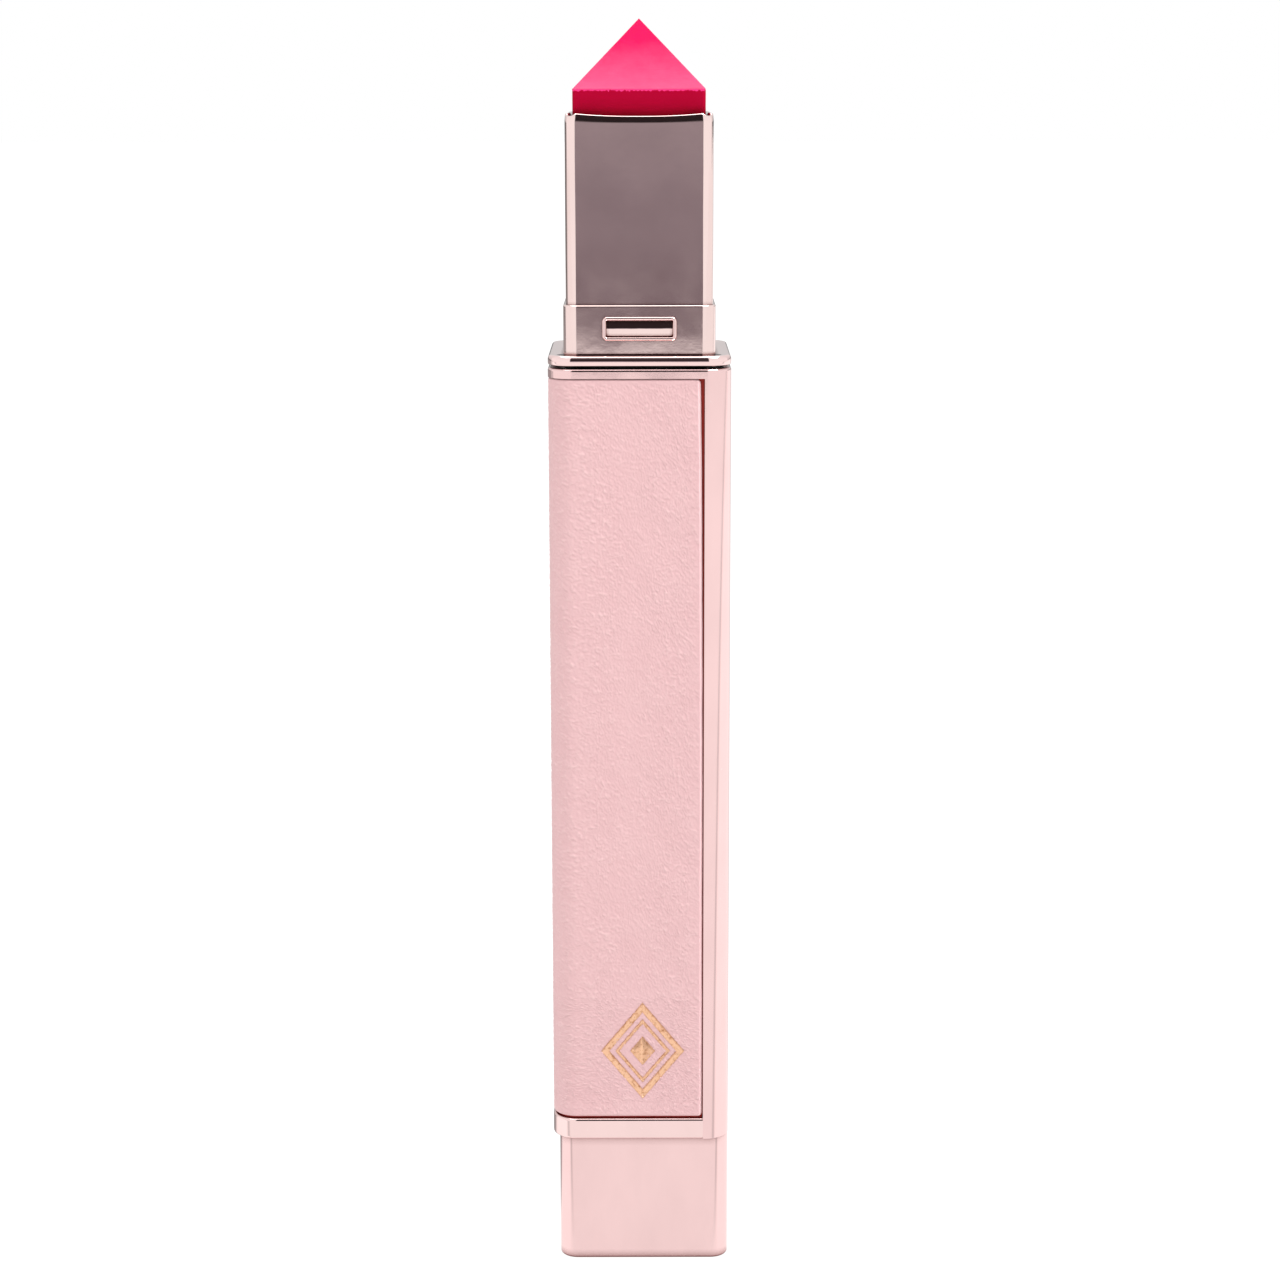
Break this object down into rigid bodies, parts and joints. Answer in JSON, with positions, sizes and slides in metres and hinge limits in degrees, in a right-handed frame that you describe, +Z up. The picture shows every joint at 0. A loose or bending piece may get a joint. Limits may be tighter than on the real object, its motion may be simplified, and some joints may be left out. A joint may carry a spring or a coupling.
{
  "type": "lipstick case",
  "caption": "Slim square twist-up lipstick case, cap off: leather-wrapped base with bare spine and foot, square plate, mirror sleeve and faceted wax bullet.",
  "frame": {"origin": "centre of the base outline on the flat underside it stands on", "axes": "+Z up along the case, towards the bullet's tip; -Y is the front with the ornament; +X is the bare spine side"},
  "size_m": [0.014, 0.014, 0.098],
  "materials": {
    "rose_gold_shell": "plated rose gold, soft gloss",
    "rose_gold_trim": "plated rose gold, polished",
    "faux_leather": "pale pink, fine pebbled grain, semi-matte",
    "backing_film": "thin stiff backing",
    "gold_foil": "stamped gold foil",
    "base_plastic": "moulded, satin",
    "label_film": "plain blank label",
    "foam_pad": "adhesive pad",
    "steel": "plain steel",
    "inner_plastic": "natural moulded plastic",
    "slip_plastic": "dark low-friction plastic",
    "o_ring_rubber": "black rubber",
    "rose_mirror": "polished rose gold",
    "cup_plastic": "moulded cup",
    "lip_wax": "magenta wax, slightly rough"
  },
  "bodies": {
    "case_base": {"base_shell": "rose_gold_shell", "lower_band": "rose_gold_trim", "leather_wrap": "faux_leather", "wrap_backing": "backing_film", "foil_ornament": "gold_foil", "base_plug": "base_plastic", "base_label": "label_film", "weight_pad": "foam_pad", "base_weight": "steel", "spacer_tube": "inner_plastic", "mechanism_housing": "inner_plastic", "lead_screw": "inner_plastic", "swivel_washer": "slip_plastic"},
    "turning_sleeve": {"turning_neck": "inner_plastic", "friction_o_ring": "o_ring_rubber", "retaining_ring": "steel", "flange_plate": "rose_gold_trim", "sleeve_collar": "rose_mirror", "inner_sleeve": "rose_mirror", "catch_bezel_front": "rose_gold_trim", "catch_bezel_rear": "rose_gold_trim", "catch_plate_front": "rose_mirror", "catch_plate_rear": "rose_mirror"},
    "bullet_lift": {"push_stem": "inner_plastic", "follower_pins": "steel", "bullet_cup": "cup_plastic", "bullet": "lip_wax"}
  },
  "joints": [
    {"name": "twist", "type": "hinge", "parent": "case_base", "child": "turning_sleeve", "pos_m": [0, 0, 0.072], "axis": [0, 0, 1], "range_deg": [-456.5, 300.5]},
    {"name": "bullet_rise", "type": "slide", "parent": "turning_sleeve", "child": "bullet_lift", "axis": [0, 0, 1], "range_m": [-0.0076, 0.005]}
  ],
  "couplings": [
    {"joint": "twist", "follows": "bullet_rise", "rad_per_m": 1047.2}
  ]
}
